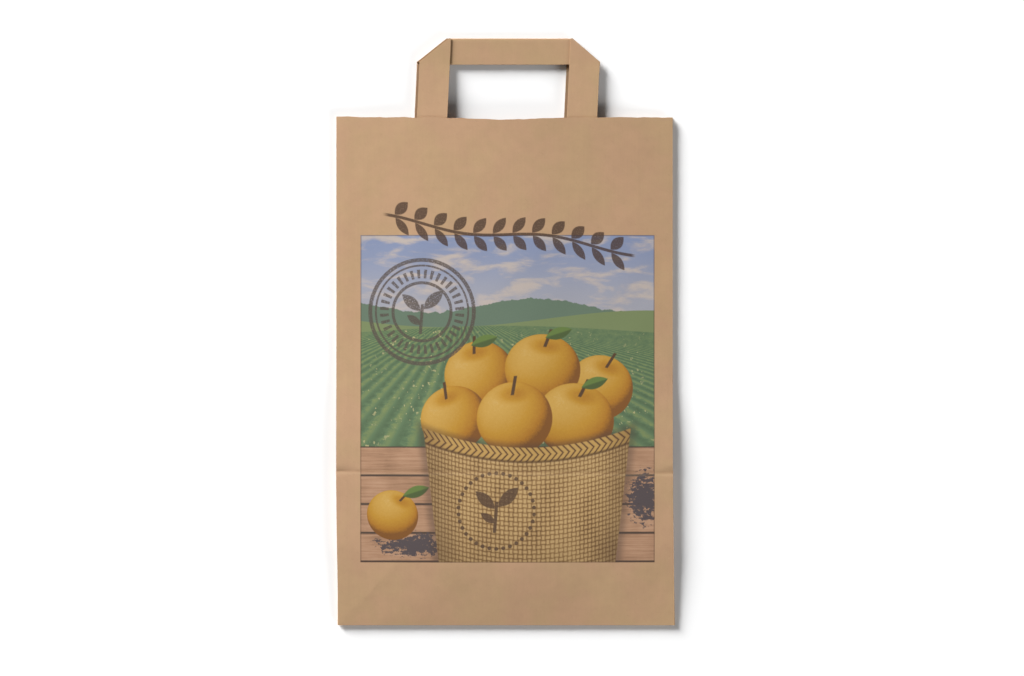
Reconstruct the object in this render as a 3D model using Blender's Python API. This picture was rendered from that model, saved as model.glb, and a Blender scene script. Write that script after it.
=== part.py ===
# Flat-folded paper carrier bag with side gussets, a block base and two paper tape handles.
# It lies on its back wall: +X is the bag's right, +Y runs from the base to the handles, +Z is up.
# Sizes below are in millimetres.
import bmesh
import bpy
from mathutils import Vector

MM = 0.001

# Bag
BAG_WIDTH = 240.0
BAG_LENGTH = 363.0          # from the bottom fold to the rim, lying flat
GUSSET_DEPTH = 110.0        # width of each side wall, and so the depth of the block base
PAPER = 0.4                 # one ply of kraft paper
PLY_GAP = 0.3               # air between plies at a fold
EDGE_OPENING = 1.2          # how far the side folds spring apart
CROWN_RISE = 5.6            # how far the front wall bows up in the middle
CROWN_SHAPE = 2.4           # power of the bow across the bag: more is flatter in the middle
RIM_DIP = 2.0               # how far the rim dips between the handle's legs
RIM_DIP_SHAPE = 4           # power of the dip: more keeps it nearer the middle
CREASE_DEPTH = 0.4          # the cross crease that the folded base presses into the front wall
CREASE_HALF_WIDTH = 4.0     # from its bottom line to where the dent ends
BASE_SKEW = 0.6             # the folded base lies this much to the right, and the rim as much to the left
BACK_SETTLE = 75.0          # length over which the back wall comes down from the base onto the table

# Base flaps, glued over each other
FLAP_PAPER = 0.3
FLAP_OVERLAP = 14.0
FLAP_FOLD_INSET = 1.0

# Tape handles
HANDLE_WIDTH = 128.6
HANDLE_RISE = 56.0          # above the rim
LEG_WIDTH = 21.6
BAR_WIDTH = 18.5
CORNER_RUN = 20.6           # along the bar, of the slanting corner fold
CORNER_DROP = 17.0          # along the leg, of the same fold
LEG_GLUED = 50.0            # length of a leg that is glued inside the bag
TAPE = 0.8                  # folded tape of several plies
TAPE_GAP = 0.3
GLUE_GAP = 0.3
HANDLE_OFFSET = 1.3         # the front handle sits this much right of the middle, at the rim
HANDLE_LEAN = 2.6           # and leans this much further right at its bar
BACK_HANDLE_SHIFT = -2.0    # the back handle shows past the front one on the left

# Derived sizes
PITCH = PAPER + PLY_GAP
TAPE_PITCH = TAPE + TAPE_GAP
HALF_WIDTH = BAG_WIDTH / 2
HALF_DEPTH = GUSSET_DEPTH / 2
QUARTER_DEPTH = GUSSET_DEPTH / 4
CREASE_X = HALF_WIDTH - HALF_DEPTH          # inner crease of a gusset
NESTED_FOLD = HALF_DEPTH + PITCH            # the back wall's fold lies inside the gusset's fold
UPPER_LENGTH = BAG_LENGTH - GUSSET_DEPTH
BASE_Y = -(BAG_LENGTH + HANDLE_RISE) / 2    # the origin is below the middle of the whole outline

# Heights of the middle of each ply, where they lie flat over the base
BASE_HEIGHT = 2 * FLAP_PAPER + PAPER / 2
SIDE_TRIANGLE_HEIGHT = BASE_HEIGHT + PITCH
TURNED_GUSSET_HEIGHT = SIDE_TRIANGLE_HEIGHT + PITCH
TURNED_BACK_HEIGHT = TURNED_GUSSET_HEIGHT + PITCH
RAISED_BACK_HEIGHT = TURNED_BACK_HEIGHT + PITCH

# Swell of the front wall: share of the length above the base crease, or of the base below it,
# then the shares of EDGE_OPENING and CROWN_RISE that are there
SWELL_COLUMNS = ("along", "edge", "crown")
BASE_SWELL = (
    (0.00, 0.00, 0.00),
    (0.25, 0.25, 0.45),
    (0.50, 0.40, 0.62),
    (0.75, 0.45, 0.64),
    (1.00, 0.60, 0.66),
)
UPPER_SWELL = (
    (0.00, 0.60, 0.66),
    (0.12, 0.85, 0.80),
    (0.26, 1.00, 0.92),
    (0.42, 1.00, 0.96),
    (0.58, 1.00, 0.95),
    (0.73, 0.95, 0.93),
    (0.86, 1.00, 0.96),
    (0.94, 1.00, 0.99),
    (1.00, 1.05, 1.00),
)
MIDDLE_CELLS = 6            # cells of the walls between the two gusset creases


def clear_scene():
    for old in list(bpy.data.objects):
        bpy.data.objects.remove(old, do_unlink=True)


def smooth_step(share):
    share = min(1.0, max(0.0, share))
    return share * share * (3 - 2 * share)


def from_table(table, column, share):
    """Value of a swell column at a share of the length, in straight steps between rows."""
    index = SWELL_COLUMNS.index(column)
    for low, high in zip(table, table[1:]):
        if share <= high[0]:
            part = (share - low[0]) / (high[0] - low[0])
            return low[index] + (high[index] - low[index]) * max(0.0, part)
    return table[-1][index]


def swell(column, v):
    if v <= GUSSET_DEPTH:
        return from_table(BASE_SWELL, column, v / GUSSET_DEPTH)
    return from_table(UPPER_SWELL, column, (v - GUSSET_DEPTH) / UPPER_LENGTH)


def back_height(v):
    """Middle of the back wall: raised over the folded base, then down on the table."""
    down = smooth_step((v - GUSSET_DEPTH - CREASE_HALF_WIDTH) / BACK_SETTLE)
    return RAISED_BACK_HEIGHT + (PAPER / 2 - RAISED_BACK_HEIGHT) * down


def carried_height(v):
    """What carries the side folds: the base alone at the bottom fold, the back wall further up."""
    if v >= HALF_DEPTH:
        return back_height(v)
    return BASE_HEIGHT + (RAISED_BACK_HEIGHT - BASE_HEIGHT) * v / HALF_DEPTH


def front_height(x, v):
    """Middle of the front wall, bowed up across the bag and dented along the cross crease."""
    across = min(1.0, abs(x) / HALF_WIDTH)
    arch = (1 - across ** CROWN_SHAPE) * CROWN_RISE * swell("crown", v)
    dent = CREASE_DEPTH * max(0.0, 1 - abs(v - GUSSET_DEPTH) / CREASE_HALF_WIDTH)
    return carried_height(v) + 3 * PITCH + EDGE_OPENING * swell("edge", v) + arch - dent


def inner_crease_height(v):
    """Middle of a gusset's inner crease, halfway between the walls."""
    return (front_height(CREASE_X, v) + back_height(v)) / 2


def gusset_front_height(x, v):
    side = HALF_WIDTH - abs(x)
    outer = front_height(HALF_WIDTH, v) - PITCH
    if v >= HALF_DEPTH:
        return outer + (inner_crease_height(v) + PITCH / 2 - outer) * side / HALF_DEPTH
    if side == 0:
        return outer
    corner = front_height(HALF_WIDTH, 0) - PITCH
    apex = inner_crease_height(HALF_DEPTH) + PITCH / 2
    return corner + (apex - corner) * side / HALF_DEPTH


def gusset_back_height(x, v):
    side = HALF_WIDTH - abs(x)
    outer = back_height(v) + PITCH
    return outer + (inner_crease_height(v) - PITCH / 2 - outer) * side / HALF_DEPTH


PLY_HEIGHTS = {
    "front": front_height,
    "gusset_front": gusset_front_height,
    "gusset_back": gusset_back_height,
    "back": lambda x, v: back_height(v),
    "back_turned": lambda x, v: TURNED_BACK_HEIGHT,
    "gusset_turned": lambda x, v: TURNED_GUSSET_HEIGHT,
    "side_triangle": lambda x, v: SIDE_TRIANGLE_HEIGHT,
    "base": lambda x, v: BASE_HEIGHT,
}


def on_table(x, v, z):
    """A point of the sheet in metres, with the rim's dip and the base's skew put in."""
    skew = BASE_SKEW * (1 - 2 * smooth_step(v / GUSSET_DEPTH))
    near_rim = smooth_step((v - BAG_LENGTH + LEG_GLUED) / LEG_GLUED)
    dip = RIM_DIP * near_rim * max(0.0, 1 - (x / CREASE_X) ** 2) ** RIM_DIP_SHAPE
    return Vector(((x + skew) * MM, (BASE_Y + v - dip) * MM, z * MM))


class Sheet:
    """The folded sheet without its thickness: cells on each ply, and strips round each fold."""

    def __init__(self):
        self.mesh = bmesh.new()
        self.corners = {}

    def corner(self, ply, x, v):
        key = (ply, round(x, 4), round(v, 4))
        if key not in self.corners:
            self.corners[key] = self.mesh.verts.new(on_table(x, v, PLY_HEIGHTS[ply](x, v)))
        return self.corners[key]

    def face(self, *points):
        self.mesh.faces.new([self.corner(*point) for point in points])

    def cells(self, ply, columns, rows):
        for left, right in zip(columns, columns[1:]):
            for low, high in zip(rows, rows[1:]):
                self.face((ply, left, low), (ply, right, low), (ply, right, high), (ply, left, high))

    def fold(self, upper, lower, path):
        """A strip between two plies, along the points of a path that they share."""
        for start, end in zip(path, path[1:]):
            self.face((upper, *start), (upper, *end), (lower, *end), (lower, *start))


def main_rows():
    """Places along the bag, from the bottom fold to the rim."""
    rows = [0.0, QUARTER_DEPTH, HALF_DEPTH, 3 * QUARTER_DEPTH]
    rows += [GUSSET_DEPTH - CREASE_HALF_WIDTH, GUSSET_DEPTH, GUSSET_DEPTH + CREASE_HALF_WIDTH]
    rows += [GUSSET_DEPTH + row[0] * UPPER_LENGTH for row in UPPER_SWELL[1:]]
    return rows


def add_side(sheet, side, rows):
    """One gusset: its two long plies, and the triangles that its foot folds into over the base."""
    edge = side * HALF_WIDTH
    half = side * (HALF_WIDTH - QUARTER_DEPTH)
    crease = side * CREASE_X
    columns = [edge, half, crease]
    upper_rows = [v for v in rows if v >= HALF_DEPTH]

    sheet.cells("gusset_front", columns, upper_rows)
    sheet.face(("gusset_front", edge, 0.0), ("gusset_front", half, QUARTER_DEPTH),
               ("gusset_front", edge, QUARTER_DEPTH))
    sheet.cells("gusset_front", [edge, half], [QUARTER_DEPTH, HALF_DEPTH])
    sheet.face(("gusset_front", half, QUARTER_DEPTH), ("gusset_front", crease, HALF_DEPTH),
               ("gusset_front", half, HALF_DEPTH))
    sheet.cells("gusset_back", columns, upper_rows)

    low_diagonal = [(edge, 0.0), (half, QUARTER_DEPTH), (crease, HALF_DEPTH)]
    high_diagonal = [(edge, GUSSET_DEPTH), (half, 3 * QUARTER_DEPTH), (crease, HALF_DEPTH)]
    for tip, inner, apex in (low_diagonal, high_diagonal):
        sheet.face(("side_triangle", *tip), ("side_triangle", *inner), ("side_triangle", edge, inner[1]))
        sheet.face(("side_triangle", edge, inner[1]), ("side_triangle", *inner),
                   ("side_triangle", half, HALF_DEPTH), ("side_triangle", edge, HALF_DEPTH))
        sheet.face(("side_triangle", *inner), ("side_triangle", *apex), ("side_triangle", half, HALF_DEPTH))

    tip, inner, apex = high_diagonal
    sheet.face(("gusset_turned", *tip), ("gusset_turned", *inner), ("gusset_turned", edge, inner[1]))
    sheet.cells("gusset_turned", [edge, half], [HALF_DEPTH, 3 * QUARTER_DEPTH])
    sheet.face(("gusset_turned", *inner), ("gusset_turned", *apex), ("gusset_turned", half, HALF_DEPTH))

    sheet.fold("front", "gusset_front", [(edge, v) for v in rows])
    sheet.fold("gusset_front", "gusset_back", [(crease, v) for v in upper_rows])
    sheet.fold("gusset_back", "back", [(edge, v) for v in upper_rows if v >= 3 * QUARTER_DEPTH])
    sheet.fold("gusset_turned", "side_triangle", high_diagonal)
    sheet.fold("side_triangle", "base", [(edge, QUARTER_DEPTH * n) for n in range(5)])
    sheet.fold("back_turned", "gusset_turned", [(edge, 3 * QUARTER_DEPTH), (edge, GUSSET_DEPTH)])

    # The gusset's fold at half the base's depth goes round the back wall's own fold
    sheet.face(("gusset_back", edge, HALF_DEPTH), ("gusset_back", edge, 3 * QUARTER_DEPTH),
               ("back", edge, 3 * QUARTER_DEPTH), ("back", edge, NESTED_FOLD), ("back", edge, HALF_DEPTH))
    sheet.face(("gusset_turned", edge, HALF_DEPTH), ("gusset_turned", edge, 3 * QUARTER_DEPTH),
               ("back_turned", edge, 3 * QUARTER_DEPTH), ("back_turned", edge, NESTED_FOLD),
               ("back_turned", edge, HALF_DEPTH))
    sheet.fold("back", "back_turned", [(edge, HALF_DEPTH), (edge, NESTED_FOLD)])
    sheet.face(("gusset_back", edge, HALF_DEPTH), ("gusset_back", half, HALF_DEPTH),
               ("gusset_turned", half, HALF_DEPTH), ("gusset_turned", edge, HALF_DEPTH),
               ("back_turned", edge, HALF_DEPTH), ("back", edge, HALF_DEPTH))
    sheet.fold("gusset_back", "gusset_turned", [(half, HALF_DEPTH), (crease, HALF_DEPTH)])
    sheet.fold("gusset_front", "side_triangle", low_diagonal[:2])
    sheet.face(("gusset_front", half, QUARTER_DEPTH), ("gusset_front", crease, HALF_DEPTH),
               ("gusset_back", crease, HALF_DEPTH), ("gusset_turned", crease, HALF_DEPTH),
               ("side_triangle", crease, HALF_DEPTH), ("side_triangle", half, QUARTER_DEPTH))


def add_cross_fold(sheet, upper, lower, columns, v, between):
    """A fold right across the bag, whose end cells also meet the plies named in between."""
    for left, right in zip(columns, columns[1:]):
        points = [(upper, left, v), (upper, right, v)]
        if right == columns[-1]:
            points += [(ply, right, v) for ply in between]
        points += [(lower, right, v), (lower, left, v)]
        if left == columns[0]:
            points += [(ply, left, v) for ply in reversed(between)]
        sheet.face(*points)


def bag_surface():
    """The whole folded sheet, open at the rim alone."""
    sheet = Sheet()
    middle = [CREASE_X * (2 * n / MIDDLE_CELLS - 1) for n in range(1, MIDDLE_CELLS)]
    sides = [HALF_WIDTH, HALF_WIDTH - QUARTER_DEPTH, CREASE_X]
    columns = [-x for x in sides] + middle + sides[::-1]
    rows = main_rows()
    base_rows = [QUARTER_DEPTH * n for n in range(5)]

    sheet.cells("front", columns, rows)
    sheet.cells("back", columns, [NESTED_FOLD] + [v for v in rows if v >= 3 * QUARTER_DEPTH])
    sheet.cells("back_turned", columns, [NESTED_FOLD] + base_rows[3:])
    sheet.cells("base", columns, base_rows)
    for side in (-1, 1):
        add_side(sheet, side, rows)
    add_cross_fold(sheet, "front", "base", columns, 0.0, ["gusset_front", "side_triangle"])
    add_cross_fold(sheet, "back", "back_turned", columns, NESTED_FOLD, [])
    add_cross_fold(sheet, "back_turned", "base", columns, GUSSET_DEPTH, ["gusset_turned", "side_triangle"])
    return sheet.mesh


def kraft_material(name, colour, roughness):
    material = bpy.data.materials.new(name)
    material.use_nodes = True
    shader = material.node_tree.nodes["Principled BSDF"]
    shader.inputs["Base Color"].default_value = (*colour, 1.0)
    shader.inputs["Roughness"].default_value = roughness
    shader.inputs["Metallic"].default_value = 0.0
    return material


def object_from(name, mesh, material):
    bmesh.ops.recalc_face_normals(mesh, faces=mesh.faces)
    bmesh.ops.triangulate(mesh, faces=[face for face in mesh.faces if len(face.verts) > 4])
    data = bpy.data.meshes.new(name)
    mesh.to_mesh(data)
    mesh.free()
    data.materials.append(material)
    made = bpy.data.objects.new(name, data)
    bpy.context.scene.collection.objects.link(made)
    return made


def give_thickness(made, thickness):
    wall = made.modifiers.new("paper_thickness", "SOLIDIFY")
    wall.thickness = thickness * MM
    wall.offset = 0.0
    wall.use_even_offset = True
    wall.use_quality_normals = True


def slab(name, outline, low, high, material):
    """A flat plate from an outline of (x, v) points, between two heights."""
    mesh = bmesh.new()
    bottom = mesh.faces.new([mesh.verts.new(on_table(x, v, low)) for x, v in outline])
    top = bmesh.ops.extrude_face_region(mesh, geom=[bottom])
    lifted = [item for item in top["geom"] if isinstance(item, bmesh.types.BMVert)]
    bmesh.ops.translate(mesh, verts=lifted, vec=(0, 0, (high - low) * MM))
    return object_from(name, mesh, material)


def base_flap(name, fold_v, towards, low, material):
    """A glued base flap: wide at its fold, with the slanting sides of the folded corners."""
    reach = HALF_DEPTH + FLAP_OVERLAP / 2
    outline = []
    for depth, sign in ((FLAP_FOLD_INSET, -1), (FLAP_FOLD_INSET, 1), (reach, 1), (reach, -1)):
        outline.append((sign * (HALF_WIDTH - depth), fold_v + towards * depth))
    flap = slab(name, outline, low, BASE_HEIGHT, material)
    flap.hide_render = True
    flap.display_type = "WIRE"
    return flap


def join(made, other):
    union = made.modifiers.new("join_" + other.name, "BOOLEAN")
    union.operation = "UNION"
    union.object = other


def make_bag(material):
    bag = object_from("bag_body", bag_surface(), material)
    give_thickness(bag, PAPER)
    join(bag, base_flap("front_base_flap", 0.0, 1, FLAP_PAPER, material))
    join(bag, base_flap("back_base_flap", GUSSET_DEPTH, -1, 0.0, material))
    return bag


def make_handle(name, faces_up, shift, material):
    """A folded tape handle: two legs glued inside a wall, and a bar that passes between them."""
    rim = BAG_LENGTH
    top_v = rim + HANDLE_RISE
    corner_v = top_v - BAR_WIDTH
    outer = HANDLE_WIDTH / 2
    back_leg = back_height(rim) + PAPER / 2 + GLUE_GAP + TAPE / 2
    leg_rest = back_leg + 3 * TAPE_PITCH if faces_up else back_leg
    bar_rest = leg_rest - TAPE_PITCH if faces_up else leg_rest + TAPE_PITCH

    def leg_height(x, v):
        if not faces_up:
            return back_leg
        under_front = PAPER / 2 + GLUE_GAP + TAPE / 2
        inside = front_height(x, min(v, rim)) - under_front
        return inside + (leg_rest - inside) * smooth_step((v - rim) / (corner_v - rim))

    mesh = bmesh.new()
    corners = {}

    def corner(ply, x, v):
        key = (ply, round(x, 4), round(v, 4))
        if key not in corners:
            if abs(x) == outer and v == corner_v:
                v = top_v - CORNER_DROP
            leaned = x + shift + HANDLE_OFFSET + HANDLE_LEAN * (v - rim) / HANDLE_RISE
            height = leg_height(leaned, v) if ply == "leg" else bar_rest
            corners[key] = mesh.verts.new(Vector((leaned, BASE_Y + v, height)) * MM)
        return corners[key]

    def face(*points):
        mesh.faces.new([corner(*point) for point in points])

    turn = outer - CORNER_RUN
    inner = outer - LEG_WIDTH
    leg_rows = [rim - LEG_GLUED * share for share in (1.0, 0.75, 0.5, 0.25, 0.0)]
    leg_rows += [rim + (corner_v - rim) * share for share in (0.25, 0.5, 0.75, 1.0)]
    for side in (-1, 1):
        for low, high in zip(leg_rows, leg_rows[1:]):
            for far, near in ((outer, turn), (turn, inner)):
                face(("leg", side * far, low), ("leg", side * near, low),
                     ("leg", side * near, high), ("leg", side * far, high))
        face(("leg", side * outer, corner_v), ("leg", side * turn, corner_v), ("leg", side * turn, top_v))
        face(("leg", side * turn, corner_v), ("leg", side * inner, corner_v),
             ("leg", side * inner, top_v), ("leg", side * turn, top_v))
        face(("bar", side * outer, corner_v), ("bar", side * turn, corner_v), ("bar", side * turn, top_v))
        face(("leg", side * outer, corner_v), ("leg", side * turn, top_v),
             ("bar", side * turn, top_v), ("bar", side * outer, corner_v))
    face(("bar", -turn, corner_v), ("bar", turn, corner_v), ("bar", turn, top_v), ("bar", -turn, top_v))
    handle = object_from(name, mesh, material)
    give_thickness(handle, TAPE)
    return handle


clear_scene()
kraft = kraft_material("kraft_paper", (0.491, 0.323, 0.188), 0.82)
tape = kraft_material("handle_tape", (0.463, 0.300, 0.170), 0.8)
make_bag(kraft)
make_handle("front_handle", True, 0.0, tape)
make_handle("back_handle", False, BACK_HANDLE_SHIFT, tape)
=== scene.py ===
import math

import bmesh
import bpy
import numpy as np
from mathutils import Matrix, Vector
from mathutils.bvhtree import BVHTree


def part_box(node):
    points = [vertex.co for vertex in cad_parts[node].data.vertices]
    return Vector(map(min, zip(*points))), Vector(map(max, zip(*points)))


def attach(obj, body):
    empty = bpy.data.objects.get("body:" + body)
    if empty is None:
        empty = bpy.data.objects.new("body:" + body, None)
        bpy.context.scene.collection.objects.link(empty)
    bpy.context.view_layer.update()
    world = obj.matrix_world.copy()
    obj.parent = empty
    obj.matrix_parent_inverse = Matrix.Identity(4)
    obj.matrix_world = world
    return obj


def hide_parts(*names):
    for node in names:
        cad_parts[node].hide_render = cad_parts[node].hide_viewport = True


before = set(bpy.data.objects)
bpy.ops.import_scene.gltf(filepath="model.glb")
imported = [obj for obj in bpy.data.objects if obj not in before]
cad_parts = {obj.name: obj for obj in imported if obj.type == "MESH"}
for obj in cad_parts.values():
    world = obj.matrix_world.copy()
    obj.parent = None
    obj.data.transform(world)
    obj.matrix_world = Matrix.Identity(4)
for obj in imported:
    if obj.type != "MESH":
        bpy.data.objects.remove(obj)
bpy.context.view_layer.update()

# A flat-folded kraft paper carrier bag with a printed front, lying on its back under a camera.
# All lengths are in metres, so a millimetre is written as 1 * mm.
mm = 0.001
bagLow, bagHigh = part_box("bag_body")
bagBottom = bagLow.y
bagRim = bagHigh.y
bagHalfWidth = (bagHigh.x - bagLow.x) / 2
baseDepth = 110 * mm  # from the bottom fold to the cross crease that the folded base leaves


# Shader maths: an expression on wires adds its own Math nodes

class Wire:
    def __init__(self, sheet, socket):
        self.sheet = sheet
        self.socket = socket

    def math(self, operation, *values):
        inputs = dict(enumerate((self,) + values))
        return self.sheet.node("ShaderNodeMath", {"operation": operation}, inputs)

    def turned(self, operation, first):
        return self.sheet.node("ShaderNodeMath", {"operation": operation}, {0: first, 1: self})

    def __add__(self, other):
        return self.math("ADD", other)

    def __radd__(self, other):
        return self.math("ADD", other)

    def __sub__(self, other):
        return self.math("SUBTRACT", other)

    def __rsub__(self, other):
        return self.turned("SUBTRACT", other)

    def __mul__(self, other):
        return self.math("MULTIPLY", other)

    def __rmul__(self, other):
        return self.math("MULTIPLY", other)

    def __truediv__(self, other):
        return self.math("DIVIDE", other)

    def __rtruediv__(self, other):
        return self.turned("DIVIDE", other)

    def __pow__(self, other):
        return self.math("POWER", other)

    def __neg__(self):
        return self.math("MULTIPLY", -1.0)

    def __abs__(self):
        return self.math("ABSOLUTE")

    def sin(self):
        return self.math("SINE")

    def root(self):
        return self.math("MAXIMUM", 0.0).math("SQRT")

    def floor(self):
        return self.math("FLOOR")

    def fraction(self):
        return self.math("FRACT")

    def least(self, other):
        return self.math("MINIMUM", other)

    def most(self, other):
        return self.math("MAXIMUM", other)

    def rise(self, low, high):  # 0 below low, 1 above high, smooth between
        settings = {"interpolation_type": "SMOOTHSTEP"}
        return self.sheet.node("ShaderNodeMapRange", settings, {0: self, 1: low, 2: high, 3: 0.0, 4: 1.0})

    def fall(self, low, high):  # 1 below low, 0 above high
        settings = {"interpolation_type": "SMOOTHSTEP"}
        return self.sheet.node("ShaderNodeMapRange", settings, {0: self, 1: low, 2: high, 3: 1.0, 4: 0.0})


class NodeSheet:
    def __init__(self, name):
        self.material = bpy.data.materials.new(name)
        self.material.use_nodes = True
        self.tree = self.material.node_tree
        self.tree.nodes.clear()

    def node(self, kind, settings=None, inputs=None, output=0):
        made = self.tree.nodes.new(kind)
        for key, value in (settings or {}).items():
            if key == "stops":
                self.fillRamp(made.color_ramp, value)
            else:
                setattr(made, key, value)
        for key, value in (inputs or {}).items():
            if isinstance(value, Wire):
                self.tree.links.new(value.socket, made.inputs[key])
            else:
                made.inputs[key].default_value = value
        return Wire(self, made.outputs[output])

    def fillRamp(self, ramp, stops):
        while len(ramp.elements) < len(stops):
            ramp.elements.new(1.0)
        for element, (place, colour) in zip(ramp.elements, stops):
            element.position = place
            element.color = tint(colour)

    def mix(self, factor, first, second, blend="MIX"):
        settings = {"data_type": "RGBA", "blend_type": blend}
        return self.node("ShaderNodeMix", settings, {0: factor, 6: first, 7: second}, 2)

    def ramp(self, value, stops):
        return self.node("ShaderNodeValToRGB", {"stops": stops}, {0: value})

    def vector(self, x, y, z=0.0):
        return self.node("ShaderNodeCombineXYZ", None, {0: x, 1: y, 2: z})

    def scaled(self, vector, factor):
        return self.node("ShaderNodeVectorMath", {"operation": "SCALE"}, {0: vector, "Scale": factor})

    def noise(self, vector, size, detail=2.0, roughness=0.5, distortion=0.0):
        inputs = {"Vector": vector, "Scale": 1.0 / size, "Detail": detail,
                  "Roughness": roughness, "Distortion": distortion}
        return self.node("ShaderNodeTexNoise", None, inputs)

    def place(self):  # object coordinates in millimetres: the vector, then x, y and z
        where = self.node("ShaderNodeTexCoord", None, None, 3)
        whole = self.scaled(where, 1000.0)
        parts = self.node("ShaderNodeSeparateXYZ", None, {0: whole}).socket.node.outputs
        return whole, Wire(self, parts[0]), Wire(self, parts[1]), Wire(self, parts[2])

    def finish(self, colour, roughness, height, bumpDepth):
        colour = self.scaled(colour, kraft["reflected"])
        bump = self.node("ShaderNodeBump", None, {"Height": height, "Distance": bumpDepth, "Strength": 1.0})
        inputs = {"Base Color": colour, "Roughness": roughness, "Normal": bump, "Specular IOR Level": 0.25}
        shader = self.node("ShaderNodeBsdfPrincipled", None, inputs)
        out = self.tree.nodes.new("ShaderNodeOutputMaterial")
        self.tree.links.new(shader.socket, out.inputs[0])
        return self.material


def tint(colour):  # "#rrggbb" as the eye sees it, to the linear colour that shaders take
    if not isinstance(colour, str):
        return colour
    parts = [int(colour[n:n + 2], 16) / 255 for n in (1, 3, 5)]
    linear = [part / 12.92 if part <= 0.04045 else ((part + 0.055) / 1.055) ** 2.4 for part in parts]
    return (*linear, 1.0)


# Kraft paper

kraft = {
    "colour": "#bd9a78",
    "tape": "#b79674",
    # Painted shade: a darker tape for the back handle's upward faces where they show beside the front handle
    "backTapePaintedShade": "#83674b",
    "warm": "#c39a7a",
    "cool": "#b99b72",
    # The fibre colours below also serve as the painted shade and painted highlight of the cross crease
    "fibreDarkAndCreaseShade": "#8d6c4c",
    "fibreLightAndCreaseHighlight": "#d6bb98",
    "reflected": 0.82,         # share of the colours above that the paper sends back
    "roughness": 0.78,
    "bump": 0.03 * mm,
}


def kraftPaper(sheet, colour):
    # Returns the colour and height of bare kraft paper: mottled pulp, machine lines and fibres
    whole, x, y, z = sheet.place()
    clouds = sheet.noise(whole, 34.0, 3.0, 0.55)
    mottle = sheet.noise(whole, 8.0, 4.0, 0.6)
    lines = sheet.noise(sheet.vector(x / 0.7, y / 70.0, z), 1.0, 2.0, 0.5)
    slanting = sheet.vector((x + y) / 0.5, (x - y) / 3.4, z)
    other = sheet.vector((x * 0.8 - y) / 0.45, (x + y * 0.8) / 4.0, z)
    fibres = sheet.noise(slanting, 1.0, 2.0, 0.6, 0.6)
    hairs = sheet.noise(other, 1.0, 2.0, 0.6, 0.8)

    tone = sheet.mix(clouds.rise(0.35, 0.65), tint(kraft["warm"]), tint(kraft["cool"]))
    tone = sheet.mix(0.6, tone, tint(colour))
    tone = sheet.mix(fibres.rise(0.6, 0.78) * 0.3, tone, tint(kraft["fibreDarkAndCreaseShade"]))
    tone = sheet.mix(hairs.rise(0.62, 0.8) * 0.3, tone, tint(kraft["fibreLightAndCreaseHighlight"]))
    level = 1.0 + (mottle - 0.5) * 0.16 + (lines - 0.5) * 0.06 + (clouds - 0.5) * 0.1
    tone = sheet.scaled(tone, level)
    height = fibres * 0.5 + hairs * 0.4 + mottle * 0.8 + lines * 0.4
    return tone, height, (whole, x, y, z)


def creaseShadeAndHighlight(sheet, x, y):
    # The cross crease: painted shade as a dark line along it, with a painted highlight as a light line below
    # it
    middle = (bagBottom + baseDepth) / mm
    wander = sheet.noise(sheet.vector(x, 0.0, 3.0), 22.0, 2.0) - 0.5
    off = y - middle + x * 0.006 + wander * 0.8
    strength = sheet.noise(sheet.vector(x, 5.0, 0.0), 16.0, 2.0).rise(0.25, 0.6) * 0.5 + 0.5
    creaseShade = abs(off).fall(0.3, 1.5) * strength
    light = abs(off + 2.0).fall(0.2, 1.3) * strength
    return creaseShade, light


def plainKraft():
    sheet = NodeSheet("kraftPlain")
    tone, height, place = kraftPaper(sheet, kraft["colour"])
    return sheet.finish(tone, kraft["roughness"], height, kraft["bump"])


def tapeKraft(name, colour):
    sheet = NodeSheet(name)
    tone, height, place = kraftPaper(sheet, colour)
    return sheet.finish(tone, kraft["roughness"], height, kraft["bump"])


# The printed picture on the front wall, in millimetres from the middle of the print

picture = {
    "rightOfMiddle": 1.54 * mm,
    "aboveBottom": 162.0 * mm,
    "halfWidth": 105.0,
    "halfHeight": 116.8,
    "skyHigh": "#8191b3",
    "skyLow": "#a1a4b0",
    "cloud": "#beb3ad",
    "farHill": "#5d7766",
    "nearHill": "#74875c",
    "fieldDark": "#3f5f45",
    "fieldMid": "#587857",
    "fieldLight": "#7b8d59",
    "dapple": "#bdb583",
    "goldDeep": "#7a4b19",
    "goldShade": "#a9711a",
    "gold": "#bd8c2a",
    "goldLight": "#cba14e",
    "goldShine": "#d8bd84",
    "stem": "#4a3524",
    "leaf": "#5c7a3c",
    "leafDark": "#3f5a31",
    "reedDark": "#462f20",
    "reed": "#8f6d42",
    "reedLight": "#c6a571",
    "reedRim": "#c09a58",
    "plank": "#b0886b",
    "plankLight": "#caa385",
    "plankDark": "#8a6850",
    "seam": "#3d3330",
    "ink": "#4c382d",
    "stamp": "#4a4341",
    "soil": "#48434a",
}

fruits = [  # middle x, y, half width, half height, turn in degrees, whether it has a leaf
    {"x": -20.0, "y": 17.0, "wide": 25.0, "high": 24.0, "turn": 14.0, "leaf": True},
    {"x": 66.0, "y": 8.0, "wide": 23.5, "high": 23.0, "turn": -18.0, "leaf": False},
    {"x": 25.0, "y": 21.0, "wide": 27.0, "high": 25.0, "turn": -6.0, "leaf": True},
    {"x": -38.0, "y": -14.0, "wide": 24.0, "high": 23.0, "turn": 22.0, "leaf": False},
    {"x": 48.0, "y": -15.0, "wide": 28.0, "high": 26.0, "turn": -12.0, "leaf": True},
    {"x": 5.0, "y": -14.0, "wide": 27.0, "high": 26.0, "turn": 5.0, "leaf": False},
]
looseFruit = {"x": -82.0, "y": -83.0, "wide": 18.5, "high": 17.5, "turn": -28.0, "leaf": True}
basket = {"x": 14.0, "rim": -35.0, "curve": 14.0, "half": 74.0, "taper": 0.12, "band": 10.0,
          "strand": 3.3, "plait": 4.4}


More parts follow.
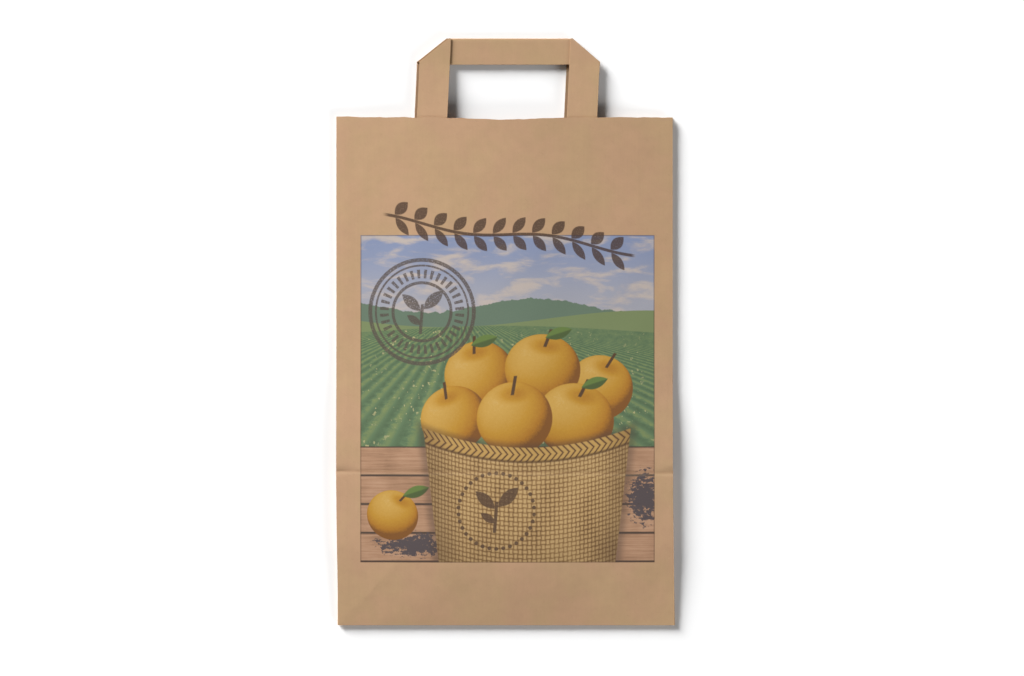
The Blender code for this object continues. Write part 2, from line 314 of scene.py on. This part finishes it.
def localPlace(x, y, thing):
    turn = math.radians(thing["turn"])
    dx = x - thing["x"]
    dy = y - thing["y"]
    px = (dx * math.cos(turn) + dy * math.sin(turn)) / thing["wide"]
    py = (dy * math.cos(turn) - dx * math.sin(turn)) / thing["high"]
    return px, py


def leafShape(x, y, middleX, middleY, length, width, turn):
    # 1 inside a pointed leaf, 0 outside
    px, py = localPlace(x, y, {"x": middleX, "y": middleY, "wide": length, "high": width, "turn": turn})
    return (1.0 - px * px - abs(py)).rise(0.0, 0.2), px, py


def paintFruit(sheet, tone, x, y, fruit, speckle):
    px, py = localPlace(x, y, fruit)
    reach = px * px + py * py
    bulge = (1.0 - reach).root()
    dimple = (px * px * 5.0 + (py - 0.66) * (py - 0.66) * 16.0).root()
    light = bulge * 0.62 - px * 0.34 + py * 0.42 + speckle * 0.22 - dimple.fall(0.2, 1.3) * 0.42
    skin = sheet.ramp(light, [
        (0.0, picture["goldDeep"]), (0.2, picture["goldShade"]), (0.5, picture["gold"]),
        (0.8, picture["goldLight"]), (1.0, picture["goldShine"])])
    tone = sheet.mix(reach.fall(0.97, 1.03), tone, skin)
    stem = abs(px - (py - 0.66) * 0.25).fall(0.03, 0.06) * py.rise(0.62, 0.66) * py.fall(1.14, 1.18)
    tone = sheet.mix(stem, tone, tint(picture["stem"]))
    if fruit["leaf"]:
        turn = math.radians(fruit["turn"])
        tipX = fruit["x"] - 0.95 * fruit["high"] * math.sin(turn) + 9.0
        tipY = fruit["y"] + 0.95 * fruit["high"] * math.cos(turn) + 2.0
        shape, along, off = leafShape(x, y, tipX, tipY, 10.5, 4.6, 18.0)
        green = sheet.mix(off.rise(-0.15, 0.15), tint(picture["leafDark"]), tint(picture["leaf"]))
        tone = sheet.mix(shape, tone, green)
    return tone


def paintLand(sheet, x, y):
    # Sky with drifting clouds, a far hill and a near one, and a field in rows
    drift = sheet.noise(sheet.vector(x / 30.0, y / 10.0), 1.0, 5.0, 0.55, 0.4)
    sky = sheet.mix(y.rise(62.0, 116.0), tint(picture["skyLow"]), tint(picture["skyHigh"]))
    tone = sheet.mix(drift.rise(0.46, 0.66), sky, tint(picture["cloud"]))

    trees = sheet.noise(sheet.vector(x, 0.0, 9.0), 5.0, 3.0)
    farLine = (x / 24.0 + 0.8).sin() * 5.0 + trees * 5.0 + 64.0
    tone = sheet.mix((farLine - y).rise(-0.4, 0.4), tone, tint(picture["farHill"]))
    nearLine = (x / 46.0 - 0.6).sin() * 6.0 + 57.0
    tone = sheet.mix((nearLine - y).rise(-0.4, 0.4), tone, tint(picture["nearHill"]))

    fieldLine = (x / 60.0 + 1.6).sin() * 4.0 + 48.0
    depth = (64.0 - y).most(4.0)
    fan = (x + 34.0) / depth
    rough = sheet.noise(sheet.vector(x / 5.0, y / 3.0), 1.0, 4.0, 0.65)
    rows = (fan * 34.0 + rough * 3.0).sin() * 0.5 + 0.5
    green = sheet.ramp(rows * 0.45 + rough * 0.8 - 0.2, [
        (0.0, picture["fieldDark"]), (0.45, picture["fieldMid"]), (0.8, picture["fieldLight"]),
        (1.0, picture["dapple"])])
    tone = sheet.mix((fieldLine - y).rise(-0.5, 0.5), tone, green)
    blossom = sheet.noise(sheet.vector(x, y, 4.0), 2.6, 1.0)
    patches = sheet.noise(sheet.vector(x, y, 7.0), 26.0, 2.0).rise(0.42, 0.62)
    flowers = blossom.rise(0.66, 0.72) * patches * (fieldLine - y).rise(0.0, 2.0)
    return sheet.mix(flowers * 0.8, tone, tint(picture["dapple"]))


def paintPlanks(sheet, tone, x, y):
    edge = -34.0
    boards = (edge - y) / 20.5
    number = boards.floor()
    inside = boards.fraction()
    shift = (number * 12.9898).sin() * 43.0
    grain = sheet.noise(sheet.vector(x / 34.0 + shift, y / 1.5), 1.0, 5.0, 0.62, 0.5)
    wash = sheet.noise(sheet.vector(x, y, 2.0), 18.0, 3.0)
    wood = sheet.ramp(grain * 0.9 + wash * 0.5 - 0.2, [
        (0.2, picture["plankDark"]), (0.5, picture["plank"]), (0.85, picture["plankLight"])])
    seam = inside.fall(0.02, 0.07).most(inside.rise(0.95, 0.99))
    wood = sheet.mix(seam, wood, tint(picture["seam"]))
    return sheet.mix((edge - y).rise(-0.4, 0.4), tone, wood)


def paintSoil(sheet, tone, x, y):
    # Dark crumbs spilt on the boards beside the basket
    crumbs = sheet.noise(sheet.vector(x / 5.0, y / 3.2, 5.0), 1.0, 5.0, 0.72)
    heap = 0.0
    for middleX, middleY, wide, high in ((-66.0, -104.0, 34.0, 11.0), (97.0, -70.0, 15.0, 24.0)):
        px = (x - middleX) / wide
        py = (y - middleY) / high
        heap = (1.0 - (px * px + py * py).root()).most(0.0) + heap
    spilt = (crumbs + heap * 0.3).rise(0.58, 0.62) * heap.rise(0.0, 0.12)
    return sheet.mix(spilt, tone, tint(picture["soil"]))


def paintBasket(sheet, tone, x, y):
    across = (x - basket["x"]) / basket["half"]
    rim = across * across * basket["curve"] + basket["rim"]
    below = rim - y
    side = basket["half"] - below * basket["taper"] - abs(x - basket["x"])
    inside = below.rise(-0.6, 0.4) * side.rise(-0.5, 0.5)
    wear = sheet.noise(sheet.vector(x / 1.4, y / 1.4), 1.0, 4.0, 0.7)
    folds = sheet.noise(sheet.vector(x / 17.0, y / 40.0, 8.0), 1.0, 2.0, 0.5)

    up = (x - basket["x"]) * (1.0 + across * across * 0.2) / basket["strand"]
    row = (below - basket["band"]) / basket["strand"]
    standing = (up.fraction() * math.pi).sin()
    lying = (row.fraction() * math.pi).sin()
    turns = ((up.floor() + row.floor()) * 0.5).fraction() * 2.0
    crossing = standing * (lying * 0.4 + 0.6) * turns + lying * (standing * 0.4 + 0.6) * (1.0 - turns)
    body = sheet.ramp(crossing * 0.75 + wear * 0.5 + folds * 0.5 - 0.35, [
        (0.05, picture["reedDark"]), (0.38, picture["reed"]), (0.85, picture["reedLight"])])

    half = basket["band"] * 0.5
    chevron = x / basket["plait"] + abs(below - half) / 5.0
    twist = abs((chevron * math.pi).sin())
    hem = sheet.ramp(twist + wear * 0.4 - 0.2, [
        (0.1, picture["reedDark"]), (0.4, picture["reed"]), (0.8, picture["reedRim"])])
    weave = sheet.mix(below.fall(basket["band"] - 0.5, basket["band"] + 0.5), body, hem)
    groove = abs(below - basket["band"]).fall(0.3, 1.6) * 0.7
    weave = sheet.mix(groove, weave, tint(picture["reedDark"]))
    shade = side.fall(0.0, 24.0) * 0.4 + below.rise(50.0, 84.0) * 0.15
    weave = sheet.mix(shade, weave, tint(picture["reedDark"]))
    floor = (below + 6.0).rise(0.0, 6.0) * side.rise(-8.0, -0.5) * 0.5
    tone = sheet.mix(floor, tone, tint(picture["seam"]))
    return sheet.mix(inside, tone, weave)


def inkSprig(sheet, x, y):
    # A hand-drawn leafy sprig that runs over the top edge of the picture
    middle = (x / 19.0).sin() * 3.2 - x * 0.13 + 117.0
    off = y - middle
    span = x.rise(-90.0, -84.0) * x.fall(88.0, 92.0)
    stem = abs(off).fall(0.8, 1.4) * span
    step = 14.0
    cell = (x / step).fraction() * step - step * 0.5
    upper = leafShape(cell, off, 1.2, 6.6, 7.6, 3.9, 50.0)[0]
    lower = leafShape(cell, off, 1.8, -6.2, 7.4, 3.7, -48.0)[0]
    return stem.most(upper.most(lower) * x.rise(-84.5, -84.0) * x.fall(83.5, 84.0))


def inkSprout(x, y, middleX, middleY, size):
    stem = abs(x - middleX - (y - middleY) * 0.08).fall(size * 0.05, size * 0.09)
    stem = stem * (y - middleY).rise(-size, -size * 0.95) * (y - middleY).fall(size * 0.3, size * 0.36)
    left = leafShape(x, y, middleX - size * 0.46, middleY + size * 0.4, size * 0.58, size * 0.26, 138.0)[0]
    right = leafShape(x, y, middleX + size * 0.5, middleY + size * 0.52, size * 0.62, size * 0.28, 44.0)[0]
    small = leafShape(x, y, middleX - size * 0.34, middleY - size * 0.36, size * 0.4, size * 0.18, 146.0)[0]
    return stem.most(left).most(right).most(small)


def ring(reach, radius, half):
    return abs(reach - radius).fall(half, half + 0.35)


def inkRosette(x, y, middleX, middleY, radius):
    dx = x - middleX
    dy = y - middleY
    reach = (dx * dx + dy * dy).root()
    angle = dy.math("ARCTAN2", dx)
    shape = ring(reach, radius, 1.2).most(ring(reach, radius - 4.0, 0.5))
    shape = shape.most(ring(reach, radius * 0.56, 0.9))
    ticks = (angle * (36.0 / math.tau)).fraction()
    band = reach.rise(radius * 0.64, radius * 0.65) * reach.fall(radius * 0.81, radius * 0.82)
    shape = shape.most(abs(ticks - 0.5).fall(0.18, 0.26) * band)
    return shape.most(inkSprout(x, y, middleX, middleY, radius * 0.44))


def inkDots(x, y, middleX, middleY, radius, count):
    dx = x - middleX
    dy = y - middleY
    reach = (dx * dx + dy * dy).root() - radius
    step = math.tau * radius / count
    along = ((dy.math("ARCTAN2", dx) * (count / math.tau)).fraction() - 0.5) * step
    return (along * along + reach * reach).root().fall(1.2, 1.6)


def paintPicture(sheet, paper, place):
    whole, x, y, z = place
    middleX = picture["rightOfMiddle"] / mm
    middleY = (bagBottom + picture["aboveBottom"]) / mm
    x = x - middleX
    y = y - middleY
    tone = paintLand(sheet, x, y)
    tone = paintPlanks(sheet, tone, x, y)
    tone = paintSoil(sheet, tone, x, y)
    speckle = sheet.noise(sheet.vector(x, y, 1.0), 1.6, 3.0, 0.7) - 0.5
    tone = paintFruit(sheet, tone, x, y, looseFruit, speckle)
    for fruit in fruits:
        tone = paintFruit(sheet, tone, x, y, fruit, speckle)
    tone = paintBasket(sheet, tone, x, y)

    worn = sheet.noise(sheet.vector(x, y, 6.0), 1.0, 4.0, 0.75).rise(0.3, 0.5)
    stamp = inkRosette(x, y, -61.0, 62.0, 37.0)
    tone = sheet.mix(stamp * worn * 0.88, tone, tint(picture["stamp"]))
    marks = inkDots(x, y, -8.0, -80.0, 27.0, 34.0)
    marks = marks.most(inkSprout(x, y, -8.0, -79.0, 17.0))
    tone = sheet.mix(marks * (worn * 0.3 + 0.62), tone, tint(picture["ink"]))

    right = picture["halfWidth"] - abs(x)
    up = picture["halfHeight"] - abs(y)
    border = right.least(up)
    tone = sheet.mix(border.fall(0.3, 1.0) * 0.6, tone, tint(picture["ink"]))
    grain = sheet.noise(whole, 0.5, 2.0, 0.6) - 0.5
    tone = sheet.scaled(tone, 1.0 + grain * 0.16)
    printed = border.rise(-0.2, 0.2)
    tone = sheet.mix(printed * 0.93, paper, tone)
    return sheet.mix(inkSprig(sheet, x, y) * (worn * 0.25 + 0.65), tone, tint(picture["ink"]))


def printedKraft():
    sheet = NodeSheet("kraftPrinted")
    paper, height, place = kraftPaper(sheet, kraft["colour"])
    tone = paintPicture(sheet, paper, place)
    creaseShade, light = creaseShadeAndHighlight(sheet, place[1], place[2])
    # Painted shade along the cross crease, and a painted highlight just below it
    tone = sheet.mix(creaseShade * 0.3, tone, tint(kraft["fibreDarkAndCreaseShade"]))
    tone = sheet.mix(light * 0.1, tone, tint(kraft["fibreLightAndCreaseHighlight"]))
    return sheet.finish(tone, kraft["roughness"], height, kraft["bump"])


# Modelling helpers

def only(piece):
    bpy.ops.object.select_all(action="DESELECT")
    piece.select_set(True)
    bpy.context.view_layer.objects.active = piece


def copyOf(node, name):
    piece = bpy.data.objects.new(name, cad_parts[node].data.copy())
    bpy.context.scene.collection.objects.link(piece)
    piece.data.materials.clear()
    only(piece)
    bpy.ops.object.mode_set(mode="EDIT")
    bpy.ops.mesh.select_all(action="SELECT")
    bpy.ops.mesh.remove_doubles(threshold=0.002 * mm)
    bpy.ops.object.mode_set(mode="OBJECT")
    bpy.ops.mesh.customdata_custom_splitnormals_clear()
    return piece


def cutAlong(piece, axis, places):
    # Cuts the whole mesh across an axis, so that it can bend between its folds
    bpy.ops.object.mode_set(mode="EDIT")
    for where in places:
        bpy.ops.mesh.select_all(action="SELECT")
        bpy.ops.mesh.bisect(plane_co=axis * where, plane_no=axis)
    bpy.ops.object.mode_set(mode="OBJECT")


def steps(low, high, size):
    count = max(1, round((high - low) / size))
    return [low + (high - low) * n / count for n in range(1, count)]


def topSurface(piece):
    shape = bmesh.new()
    shape.from_mesh(piece.data)
    tree = BVHTree.FromBMesh(shape)
    shape.free()
    return tree


class HeightMap:
    # Heights of the surface seen from above, on a regular grid, and how to read them
    def __init__(self, tree, low, high, step):
        self.tree = tree
        self.low = low
        self.step = step
        self.columns = int((high.x - low.x) / step) + 1
        self.rows = int((high.y - low.y) / step) + 1
        places = [[(low.x + column * step, low.y + row * step) for column in range(self.columns)]
                  for row in range(self.rows)]
        self.values = np.array([[self.seen(x, y) for x, y in line] for line in places])

    def seen(self, x, y):
        # Three rays side by side, because one that meets an edge of the mesh can slip through it
        found = []
        for asideX, asideY in ((0.03, 0.05), (-0.06, 0.02), (0.02, -0.06)):
            start = Vector((x + asideX * mm, y + asideY * mm, 1.0))
            hit = self.tree.ray_cast(start, Vector((0, 0, -1)))[0]
            if hit is not None:
                found.append(hit.z)
        return max(found, default=0.0)

    def blur(self, size):
        # A bell-shaped mean over the grid, which carries a slope on past the borders
        for axis in (0, 1):
            grid = np.moveaxis(self.values, axis, 0)
            reach = min(int(3 * size / self.step), len(grid) - 1)
            weights = np.exp(-0.5 * (np.arange(-reach, reach + 1) * self.step / size) ** 2)
            weights /= weights.sum()
            before = 2 * grid[0] - grid[reach:0:-1]
            after = 2 * grid[-1] - grid[-2:-reach - 2:-1]
            padded = np.concatenate([before, grid, after])
            grid = sum(weight * padded[n:n + len(grid)] for n, weight in enumerate(weights))
            self.values = np.moveaxis(grid, 0, axis)

    def read(self, x, y):
        along = min(max((x - self.low.x) / self.step, 0.0), self.columns - 1.001)
        up = min(max((y - self.low.y) / self.step, 0.0), self.rows - 1.001)
        left, low = int(along), int(up)
        partX, partY = along - left, up - low
        cell = self.values[low:low + 2, left:left + 2]
        near = (1 - partX) * cell[0, 0] + partX * cell[0, 1]
        far = (1 - partX) * cell[1, 0] + partX * cell[1, 1]
        return float(near + (far - near) * partY)


def rampUp(value, low, high):
    share = min(1.0, max(0.0, (value - low) / (high - low)))
    return share * share * (3 - 2 * share)


def shadeFolds(piece, angle):
    only(piece)
    bpy.ops.object.shade_smooth_by_angle(angle=math.radians(angle))


# The bag

body = {
    "cell": 4.5 * mm,
    "ply": 0.5 * mm,           # a point this close under the top surface is on the front wall
    "edgeKept": 1.5 * mm,      # the folds at the sides and the foot keep their shape
    "edgeBlend": 12.0 * mm,    # and the pressed wall is reached this far in
    "rimInset": 3.0 * mm,
    "gridStep": 2.5 * mm,
    "blur": 12 * mm,
    "solidBow": 2.4,           # power of the solid's bow across the bag
    "pressedBow": 1.6,         # and of the pressed wall's, which falls more evenly to the sides
    "wave": 0.11 * mm,
    "waveSize": 74 * mm,
    "creaseDepth": 0.16 * mm,
    "creaseWidth": 1.5 * mm,
    "ridge": 0.16 * mm,
    "ridgeWidth": 2.4 * mm,
}


def waviness(x, y):
    # Slow swells of a sheet that was folded and pressed
    size = body["waveSize"] / math.tau
    first = math.sin(x / size + 0.8 * math.sin(y / size * 0.6))
    second = math.sin(y / size * 1.3 + x / size * 0.45 + 1.9)
    third = math.sin((x - y) / size * 1.7 + 0.7)
    return body["wave"] * (first + 0.7 * second + 0.35 * third)


def cornerRidge(x, y):
    # The folded corners underneath press faint slanting lines through the front wall
    up = y - bagBottom
    diagonal = (bagHalfWidth - abs(x) - up) / body["ridgeWidth"]
    inside = rampUp(up, 2 * mm, 12 * mm) * rampUp(baseDepth / 2 - up, 0.0, 12 * mm)
    return body["ridge"] * inside * math.exp(-diagonal * diagonal)


class FrontWall:
    # The solid's front wall, and how far the pressed paper lies from it at each place
    def __init__(self, tree):
        margin = Vector((body["edgeKept"], body["edgeKept"], 0))
        rimMargin = Vector((body["edgeKept"], body["rimInset"], 0))
        self.pressed = HeightMap(tree, bagLow + margin, bagHigh - rimMargin, body["gridStep"])
        grid = self.pressed
        x = np.abs(grid.low.x + np.arange(grid.columns) * grid.step) / bagHalfWidth
        fall = x ** body["pressedBow"] - x ** body["solidBow"]
        bow = grid.values[:, grid.columns // 2] - grid.values[:, 0]
        grid.values = grid.values - bow[:, None] * fall[None, :]
        grid.blur(body["blur"])

    def height(self, x, y):
        return self.pressed.seen(x, min(y, bagRim - body["rimInset"]))

    def shift(self, x, y, top):
        inward = min(bagHalfWidth - abs(x), y - bagBottom)
        share = rampUp(inward, body["edgeKept"], body["edgeBlend"])
        return share * (self.pressed.read(x, y) - top + waviness(x, y) + cornerRidge(x, y))


def makeBag():
    piece = copyOf("bag_body", "paperBag")
    wall = FrontWall(topSurface(piece))
    cutAlong(piece, Vector((1, 0, 0)), steps(bagLow.x, bagHigh.x, body["cell"]))
    creaseY = bagBottom + baseDepth
    near = [creaseY + off * mm for off in (-3.6, -2.4, -1.2, 0.0, 1.2, 2.4, 3.6)]
    cutAlong(piece, Vector((0, 1, 0)), steps(bagLow.y, bagHigh.y, body["cell"]) + near)
    printFront(piece, wall)
    for point in piece.data.vertices:
        x, y, z = point.co
        top = wall.height(x, y)
        if top - z < body["ply"]:
            off = (y - creaseY + x * 0.006) / body["creaseWidth"]
            inward = rampUp(bagHalfWidth - abs(x), 0.0, body["edgeKept"])
            crease = body["creaseDepth"] * inward * math.exp(-off * off)
            point.co.z += wall.shift(x, y, top) - crease
    trimRim(piece)
    shadeFolds(piece, 35)
    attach(piece, "root")
    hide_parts("bag_body")
    print("bag:", len(piece.data.polygons), "faces")
    return wall


def trimRim(piece):
    # The cut rim wanders a little, and is drawn down beside the glued legs
    legEdges = [-64 * mm, -40 * mm, 43 * mm, 65 * mm]
    for point in piece.data.vertices:
        if point.co.y > bagRim - 3.2 * mm:
            x = point.co.x
            wander = 0.12 * math.sin(x / (3.1 * mm)) + 0.1 * math.sin(x / (1.3 * mm) + 1.0)
            drawn = sum(0.5 * math.exp(-((x - edge) / (4 * mm)) ** 2) for edge in legEdges)
            lifted = 0.7 * math.exp(-((x + 118 * mm) / (14 * mm)) ** 2)
            point.co.y += (wander - drawn + lifted - 0.3) * mm


def printFront(piece, wall):
    piece.data.materials.append(plainKraft())
    piece.data.materials.append(printedKraft())
    for face in piece.data.polygons:
        depth = wall.height(face.center.x, face.center.y) - face.center.z
        face.material_index = 1 if face.normal.z > 0.5 and depth < body["ply"] / 2 else 0


# The handles

handle = {
    "cell": 3.0 * mm,
    "edge": 0.12 * mm,
    "leftLeg": 13.1 * mm,      # from the left end of the handle's box to the middle of its leg at the rim
    "rightLeg": 12.6 * mm,
    "legHalf": 10.0 * mm,      # heights are read this far to each side of a leg's middle at most
    "lean": 1.7 * mm,          # how far a leg leans to the right between the rim and its corner
    "cornerBelow": 18.5 * mm,  # the legs slope down from the rim to this far under the handle's top
    "ease": 0.3,               # how much of the slope is gone at its lower end
    "smoothUpTo": 15,          # degrees, less than the bevelled edges turn, so that the tape looks flat
}


def makeHandle(node, name, wall, materials):
    piece = copyOf(node, name)
    low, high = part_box(node)
    tree = topSurface(piece)
    only(piece)
    rounded = piece.modifiers.new("roundedFold", "BEVEL")
    rounded.width = handle["edge"]
    rounded.segments = 2
    rounded.limit_method = "ANGLE"
    rounded.angle_limit = math.radians(50)
    bpy.ops.object.modifier_apply(modifier=rounded.name)
    cutAlong(piece, Vector((0, 1, 0)), steps(low.y, high.y, handle["cell"]))
    if wall is not None:
        settleLegs(piece, tree, wall, low, high)
    for material in materials:
        piece.data.materials.append(material)
    for face in piece.data.polygons:
        # Where a second material is given, as on the back handle, the upward faces take it: painted shade
        face.material_index = 1 if face.normal.z > 0.5 and len(materials) > 1 else 0
    shadeFolds(piece, handle["smoothUpTo"])
    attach(piece, "root")
    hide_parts(node)
    print(name + ":", len(piece.data.polygons), "faces")


def settleLegs(piece, tree, wall, low, high):
    # The legs slope evenly down from the rim, and where they are glued in they follow the pressed wall
    corner = high.y - handle["cornerBelow"]
    rim = bagRim - body["rimInset"]

    def levelAt(x, y):
        rays = [tree.ray_cast(Vector((x, y + off * mm, 1.0)), Vector((0, 0, -1)))[0] for off in (-0.04, 0.03)]
        return max([hit.z for hit in rays if hit is not None], default=0.0)

    for point in piece.data.vertices:
        x, y = point.co.xy
        if y > corner - 0.1 * mm:
            continue
        middle = low.x + handle["leftLeg"] if x < (low.x + high.x) / 2 else high.x - handle["rightLeg"]
        along = min(1.0, max(0.0, (y - bagRim) / (corner - bagRim)))
        line = middle + handle["lean"] * (y - bagRim) / (corner - bagRim)
        aside = min(handle["legHalf"], max(-handle["legHalf"], x - line))
        eased = along * (1 + handle["ease"] * (1 - along))
        bend = 0.0
        if y > bagRim:
            atRim = levelAt(middle + aside, bagRim)
            atCorner = levelAt(middle + handle["lean"] + aside, corner)
            bend = atRim + (atCorner - atRim) * eased - levelAt(line + aside, y)
        place = min(y, rim)
        point.co.z += bend + (1 - eased) * wall.shift(x, place, wall.height(x, place))


# Floor, light and camera

studio = {
    "floor": (0.9, 0.9, 0.9, 1.0),
    "floorSize": 30.0,
    "sky": (1.0, 1.0, 1.0, 1.0),
    "skyStrength": 0.09,
}
lamps = [  # height: degrees above the floor, turn: degrees from +X, so 135 is the picture's upper left
    {"name": "keyLight", "height": 21.0, "turn": 135.0, "distance": 14.0, "size": 8.6, "power": 5400.0},
    {"name": "fillLight", "height": 20.0, "turn": -45.0, "distance": 14.0, "size": 6.0, "power": 1130.0},
]
photo = {
    "widthPixels": 1024,
    "pixelsPerMm": 1.404,
    "rightOfBag": 4.74 * mm,
    "belowBag": 4.4 * mm,
    "lens": 100.0,
    "sensor": 36.0,
}


def makeStudio():
    bpy.ops.object.select_all(action="DESELECT")
    bpy.ops.mesh.primitive_plane_add(size=studio["floorSize"], location=(0, 0, -0.1 * mm))
    floor = bpy.context.object
    floor.name = "floor"
    sheet = NodeSheet("floorWhite")
    shader = sheet.node("ShaderNodeBsdfPrincipled", None, {"Base Color": studio["floor"], "Roughness": 0.9})
    out = sheet.tree.nodes.new("ShaderNodeOutputMaterial")
    sheet.tree.links.new(shader.socket, out.inputs[0])
    floor.data.materials.append(sheet.material)

    world = bpy.data.worlds.new("softLight")
    world.use_nodes = True
    background = world.node_tree.nodes["Background"]
    background.inputs[0].default_value = studio["sky"]
    background.inputs[1].default_value = studio["skyStrength"]
    bpy.context.scene.world = world

    for lamp in lamps:
        height = math.radians(lamp["height"])
        turn = math.radians(lamp["turn"])
        flat = Vector((math.cos(turn), math.sin(turn), 0)) * math.cos(height)
        direction = flat + Vector((0, 0, math.sin(height)))
        bpy.ops.object.light_add(type="AREA", location=direction * lamp["distance"])
        light = bpy.context.object
        light.name = lamp["name"]
        light.data.shape = "DISK"
        light.data.size = lamp["size"]
        light.data.energy = lamp["power"]
        light.rotation_euler = direction.to_track_quat("Z", "Y").to_euler()


def makeCamera():
    bpy.ops.object.camera_add()
    camera = bpy.context.object
    camera.name = "photoCamera"
    camera.data.lens = photo["lens"]
    camera.data.sensor_width = photo["sensor"]
    fieldWidth = photo["widthPixels"] / photo["pixelsPerMm"] * mm
    distance = fieldWidth * photo["lens"] / photo["sensor"]
    camera.location = (photo["rightOfBag"], -photo["belowBag"], bagHigh.z + distance)
    camera.data.clip_end = 50.0
    bpy.context.scene.camera = camera
    bpy.context.scene.view_settings.view_transform = "Standard"


makeStudio()
makeCamera()
print("studio and camera ready")
frontWall = makeBag()
tape = tapeKraft("tapePlain", kraft["tape"])
makeHandle("front_handle", "frontHandle", frontWall, [tape])
makeHandle("back_handle", "backHandle", None, [tape, tapeKraft("tapeShaded", kraft["backTapePaintedShade"])])
